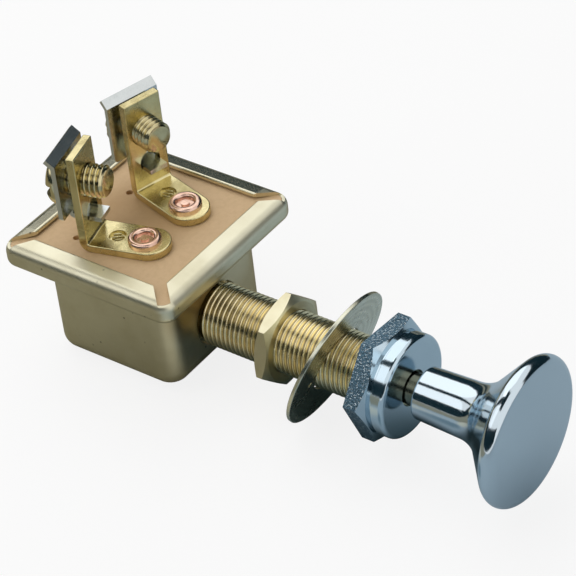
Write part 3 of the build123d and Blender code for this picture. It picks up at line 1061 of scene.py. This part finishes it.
@dataclass
class TerminalScrew:
    """A clamp screw: its slotted head from the model, and a real thread."""

    side: Side
    major: float = 2.413
    depth: float = 0.45
    pitch: float = 0.79375
    tip_bevel: float = 0.45
    shoulder: float = 0.0
    height: float = 23.0
    head_back: float = 10.65
    reach: float = 6.3
    steps: int = 48
    sharp: float = 40.0
    weld_room: float = 0.001
    seam_gap: float = 0.01
    grease_and_shade_from_head: float = 0.02
    grease_and_shade_from_tip: float = 0.03

    @property
    def seam(self) -> float:
        """Where the model's head ends and the wound thread starts, along Y."""
        return self.shoulder - self.seam_gap

    def placing(self) -> Matrix:
        """Find the screw's shoulder.

        Returns:
            The shoulder's placing, with -Y along the screw to its tip.
        """
        return TerminalSpot(self.side).at(self.head_back, self.height)

    def finish(self) -> bpy.types.Material:
        """Terminal brass, darkened in the thread's roots by grease and painted shade.

        Returns:
            The new material.
        """
        look = ThreadFinish(
            f"screw_brass_{self.side.word}",
            (0.70, 0.62, 0.37), (0.47, 0.395, 0.205), 0.19, 0.30, 300.0, 0.7,
            centre=tuple(self.placing().translation),
            swing=(0.0, 0.0, TerminalSpot(self.side).turn * self.side.value),
            crest=self.major, depth=self.depth,
            start=self.shoulder - self.grease_and_shade_from_head, end=self.grease_and_shade_from_tip - self.reach,
        )
        return look.build()

    def build(self) -> None:
        """Keep the model's head and give it a threaded shank."""
        node = f"terminal_screw_{self.side.word}"
        bench = Bench()
        bench.mesh.from_mesh(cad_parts[node].data)
        bmesh.ops.scale(bench.mesh, vec=(1 / MM,) * 3, verts=bench.mesh.verts[:])
        bmesh.ops.remove_doubles(bench.mesh, verts=bench.mesh.verts[:], dist=self.weld_room)
        bench.move(self.placing().inverted())
        bench.cut((0, self.seam, 0), (0, -1, 0))
        shank = Bench()
        shank.thread(self.major, self.depth, self.pitch, self.seam, -self.reach, self.steps)
        self.bevel_tip(shank)
        bmesh.ops.holes_fill(shank.mesh, edges=shank.open_edges(-self.reach), sides=0)
        spare = bpy.data.meshes.new("spare")
        shank.mesh.to_mesh(spare)
        shank.mesh.free()
        bench.mesh.from_mesh(spare)
        bpy.data.meshes.remove(spare)
        bench.bridge(self.seam)
        bench.move(self.placing())
        name, body = f"screw_thread_{self.side.word}", f"screw_{self.side.word}"
        piece = bench.finish(name, self.finish(), body, "terminal_brass", self.sharp)
        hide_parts(node)

    def bevel_tip(self, shank: Bench) -> None:
        """Draw the last of the thread in to a blunt point.

        Args:
            shank: the screw's thread, with its tip towards -Y.
        """
        for vert in shank.mesh.verts:
            left = vert.co.y + self.reach
            most = self.major - self.tip_bevel + min(left, self.tip_bevel)
            radius = math.hypot(vert.co.x, vert.co.z)
            if radius > most:
                vert.co.x *= most / radius
                vert.co.z *= most / radius


@dataclass
class ModelDress:
    """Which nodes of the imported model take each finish."""

    nodes: Tuple[Tuple[str, Tuple[str, ...]], ...] = (
        ("case_brass", ("case",)),
        ("fibre_board", ("terminal_board",)),
        ("nut_brass", ("jam_nut",)),
        ("washer_brass", ("panel_washer",)),
        ("nut_chrome", ("face_nut",)),
        ("bright_chrome", ("knob",)),
        ("turned_brass", ("plunger_shaft", "stake_washer")),
        ("moulded_block", ("contact_carriage",)),
        ("contact_brass", ("contact_bridge", "contact_spring")),
        ("terminal_brass", ("terminal_left", "terminal_right")),
        ("rivet_copper", ("rivet_left", "rivet_right")),
        ("clamp_steel", ("retaining_clip", "clamp_plate_left", "clamp_plate_right")),
    )

    def dress(self, materials: Dict[str, bpy.types.Material]) -> None:
        """Give every shown node its material.

        Args:
            materials: the built finishes, by name.
        """
        for finish, nodes in self.nodes:
            for node in nodes:
                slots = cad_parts[node].data.materials
                slots.clear()
                slots.append(materials[finish])
            LOG.info("%s: %s", finish, ", ".join(nodes))


# Studio


DARK_CARD = (0.012, 0.032, 0.042)


def flat_panel(
    name: str, centre: Point, facing: Point, size: Span, material: bpy.types.Material
) -> bpy.types.Object:
    """Stand a flat panel in the studio.

    Args:
        name: the panel's name.
        centre: its middle, in metres.
        facing: the way that it looks.
        size: its width and height, in metres.
        material: its paint.

    Returns:
        The panel.
    """
    bench = bmesh.new()
    bmesh.ops.create_grid(bench, x_segments=1, y_segments=1, size=0.5)
    bmesh.ops.scale(bench, vec=(*size, 1), verts=bench.verts[:])
    turn = Vector(facing).to_track_quat("Z", "Y").to_matrix().to_4x4()
    bmesh.ops.transform(bench, matrix=Matrix.Translation(centre) @ turn, verts=bench.verts[:])
    data = bpy.data.meshes.new(name)
    bench.to_mesh(data)
    bench.free()
    data.materials.append(material)
    panel = bpy.data.objects.new(name, data)
    bpy.context.scene.collection.objects.link(panel)
    return panel


@dataclass(frozen=True)
class Card:
    """A flat studio card, hidden from the camera, that bright metal reflects."""

    name: str
    centre: Point
    facing: Point
    width: float
    height: float
    tint: Colour

    def paint(self) -> MaterialSheet:
        """Make the card's matte colour.

        Returns:
            The new material's sheet.
        """
        sheet = MaterialSheet(self.name)
        sheet.coat(Base_Color=self.tint, Roughness=1.0, Specular_IOR_Level=0.0)
        return sheet

    def build(self) -> None:
        """Stand the card in the studio."""
        size = (self.width, self.height)
        card = flat_panel(self.name, self.centre, self.facing, size, self.paint().material)
        for rays in ("camera", "diffuse", "shadow", "transmission"):
            setattr(card, f"visible_{rays}", False)


@dataclass(frozen=True)
class FloorMat(Card):
    """A card on the floor: one colour by the case, another by the knob, and soft spots of painted
    shadow and painted light.
    """

    front_tint: Colour = (0.49, 0.59, 0.66)
    fade_start: float = -8.0
    fade_end: float = -20.0
    # Painted shadows under the stem, to the right and behind, and below the hub; glow is a painted
    # pool of light left of the case.
    shade: Spot = Spot((0.07, 0.11, 0.12), (1.0, -21.0, -9.0), (11.0, 30.0, 60.0))
    glow: Spot = Spot((0.80, 0.78, 0.66), (-23.0, -14.0, -9.0), (13.0, 12.0, 60.0))
    far: Spot = Spot((0.03, 0.05, 0.055), (75.0, 40.0, -9.0), (60.0, 50.0, 80.0))
    hub_shade: Spot = Spot((0.24, 0.34, 0.40), (-22.0, -33.0, -9.0), (9.0, 8.0, 60.0))

    def paint(self) -> MaterialSheet:
        """Fade the colour towards the knob and lay the painted shadows and the painted pool of
        light over it.

        Returns:
            The new material's sheet.
        """
        sheet = super().paint()
        along = sheet.parts(sheet.place)["Y"]
        share = sheet.ramp(along, self.fade_end * MM, self.fade_start * MM)
        colour = sheet.mix(share, self.front_tint, self.tint)
        for spot in (self.glow, self.shade, self.far, self.hub_shade):
            colour = spot.over(sheet, colour)
        sheet.coat(Base_Color=colour)
        return sheet


@dataclass(frozen=True)
class Softbox:
    """A soft lamp that looks at the switch, with a weaker glare in bright metal."""

    name: str
    place: Point
    width: float
    height: float
    radiance: float
    glare: float
    glare_reach: float = 0.97

    def hang(self, name: str, radiance: float, reach: float = 1.0) -> bpy.types.Object:
        """Hang a lamp of the box's size.

        Args:
            name: the lamp's name.
            radiance: how bright its face is.
            reach: how far out it hangs, as a share of the box's own distance.

        Returns:
            The lamp.
        """
        lamp = bpy.data.lights.new(name, "AREA")
        lamp.shape = "RECTANGLE"
        lamp.size = self.width
        lamp.size_y = self.height
        lamp.energy = radiance * math.pi * self.width * self.height
        holder = bpy.data.objects.new(name, lamp)
        holder.location = Vector(self.place) * reach
        holder.rotation_euler = Vector(self.place).to_track_quat("Z", "Y").to_euler()
        bpy.context.scene.collection.objects.link(holder)
        return holder

    def build(self) -> None:
        """Hang the box: its light for matte surfaces, its glare for bright ones."""
        self.hang(self.name, self.radiance).visible_glossy = False
        glare = self.hang(f"{self.name}_glare", self.glare, self.glare_reach)
        glare.visible_diffuse = False


@dataclass
class Studio:
    """Floor, world, lamps, cards and camera."""

    floor_slope: float = 4.675
    floor_drop: float = 9.0
    floor_size: Span = (6.0, 6.0)
    floor_tint: Colour = (0.94, 0.94, 0.94)
    floor_roughness: float = 0.9
    floor_glow: float = 0.84
    mat_lift: float = 0.0002
    mat_size: Span = (1.6, 1.6)
    ambient: float = 0.3
    azimuth: float = -50.304
    elevation: float = 38.349
    roll: float = -6.671
    distance: float = 379.085
    aside: float = 10.12
    above: float = 3.505
    lens: float = 163.96
    sensor: float = 36.0
    clip: Span = (0.01, 20.0)

    def floor_plane(self) -> Tuple[Vector, Vector]:
        """Find the floor that the case and the washer rest on.

        Returns:
            A point of the floor and its normal.
        """
        slope = math.radians(self.floor_slope)
        normal = Vector((0, -math.sin(slope), math.cos(slope)))
        return normal * -self.floor_drop * MM, normal

    def floor(self) -> None:
        """Lay a pale floor."""
        sheet = MaterialSheet("pale_floor")
        roughness = self.floor_roughness
        sheet.coat(Base_Color=self.floor_tint, Roughness=roughness, Specular_IOR_Level=0.0)
        white = sheet.add("ShaderNodeEmission", Strength=1.0)
        blend = sheet.add("ShaderNodeMixShader")
        sheet.feed(blend.inputs[0], sheet.maths("MULTIPLY", self.seen(sheet), self.floor_glow))
        sheet.feed(blend.inputs[1], sheet.shader.outputs["BSDF"])
        sheet.feed(blend.inputs[2], white.outputs["Emission"])
        output = sheet.tree.nodes["Material Output"]
        sheet.feed(output.inputs["Surface"], blend.outputs["Shader"])
        floor = flat_panel("floor", *self.floor_plane(), self.floor_size, sheet.material)

    def seen(self, sheet: NodeSheet) -> Socket:
        """Tell the rays that the eye follows, straight or by a mirror or glass.

        Args:
            sheet: a material's or the world's sheet.

        Returns:
            One for those rays, nought for the light's own.
        """
        light = sheet.add("ShaderNodeLightPath").outputs
        mirrored = sheet.maths("MAXIMUM", light["Is Camera Ray"], light["Is Glossy Ray"])
        return sheet.maths("MAXIMUM", mirrored, light["Is Transmission Ray"])

    def world(self) -> None:
        """A white tent for the eye and for bright metal, and a plain level for matte surfaces."""
        world = bpy.data.worlds.new("tent")
        world.use_nodes = True
        bpy.context.scene.world = world
        sheet = NodeSheet(world.node_tree)
        strength = sheet.ramp(self.seen(sheet), 0.0, 1.0, self.ambient, 1.0)
        sheet.fill(sheet.tree.nodes["Background"], {"Color": (1, 1, 1), "Strength": strength})

    def lamps(self) -> None:
        """Two softboxes overhead and the cards that break up their white."""
        boxes = (
            Softbox("right_softbox", (0.24, 0.26, 0.55), 0.60, 0.85, 1.45, 0.40),
            Softbox("left_softbox", (-0.34, 0.20, 0.40), 0.34, 0.90, 1.3, 0.30),
        )
        point, normal = self.floor_plane()
        lifted = tuple(point + normal * self.mat_lift)
        cards = (
            FloorMat("floor_mat", lifted, tuple(normal), *self.mat_size, (0.34, 0.325, 0.25)),
            Card("right_flag", (0.42, 0.15, 0.13), (-1, 0, 0), 1.8, 0.42, DARK_CARD),
            Card("rear_flag", (0.0, 0.62, 0.06), (0, -1, 0), 1.3, 0.36, DARK_CARD),
            Card("left_flag", (-0.42, 0.15, 0.15), (1, 0, 0), 1.8, 0.26, DARK_CARD),
            Card("middle_flag", (-0.10, 0.40, 0.36), (0, 0, -1), 0.08, 1.2, DARK_CARD),
            Card("front_flag", (-0.10, -0.12, 0.36), (0, 0, -1), 0.20, 0.20, DARK_CARD),
        )
        for item in (*boxes, *cards):
            item.build()

    def camera(self) -> None:
        """Stand where the photograph was taken."""
        a, e, r = (math.radians(x) for x in (self.azimuth, self.elevation, self.roll))
        back = Vector((math.sin(a) * math.cos(e), -math.cos(a) * math.cos(e), math.sin(e)))
        right = Vector((math.cos(a), math.sin(a), 0))
        up = back.cross(right)
        level = right * math.cos(r) + up * math.sin(r)
        upright = up * math.cos(r) - right * math.sin(r)
        eye = (level * self.aside + upright * self.above + back * self.distance) * MM
        data = bpy.data.cameras.new("camera")
        data.lens = self.lens
        data.sensor_width = self.sensor
        data.clip_start, data.clip_end = self.clip
        data.dof.use_dof = False
        camera = bpy.data.objects.new("camera", data)
        axes = Matrix((level, upright, back)).transposed().to_4x4()
        camera.matrix_world = Matrix.Translation(eye) @ axes
        bpy.context.scene.collection.objects.link(camera)
        bpy.context.scene.camera = camera

    def build(self) -> None:
        """Set the whole studio up."""
        bpy.context.scene.view_settings.view_transform = "Standard"
        self.floor()
        self.world()
        self.lamps()
        self.camera()


def main() -> None:
    """Build the studio, the finishes and the pieces."""
    logging.basicConfig(level=logging.INFO, format="%(name)s: %(message)s")
    Studio().build()
    finishes = (
        CASE_BRASS, SHADED_TURNED_BRASS, STEM_BRASS, NUT_BRASS, WASHER_BRASS, TERMINAL_BRASS,
        CONTACT_BRASS, RIVET_COPPER, CLAMP_STEEL, BRIGHT_CHROME, NUT_CHROME, FIBRE_BOARD,
        MOULDED_BLOCK,
    )
    materials = {finish.name: finish.build() for finish in finishes}
    ModelDress().dress(materials)
    Stem().build(materials["stem_brass"])
    for side in Side:
        StampRibs(side).build(materials["terminal_brass"])
        TerminalScrew(side).build()


if __name__ == "__main__":
    main()
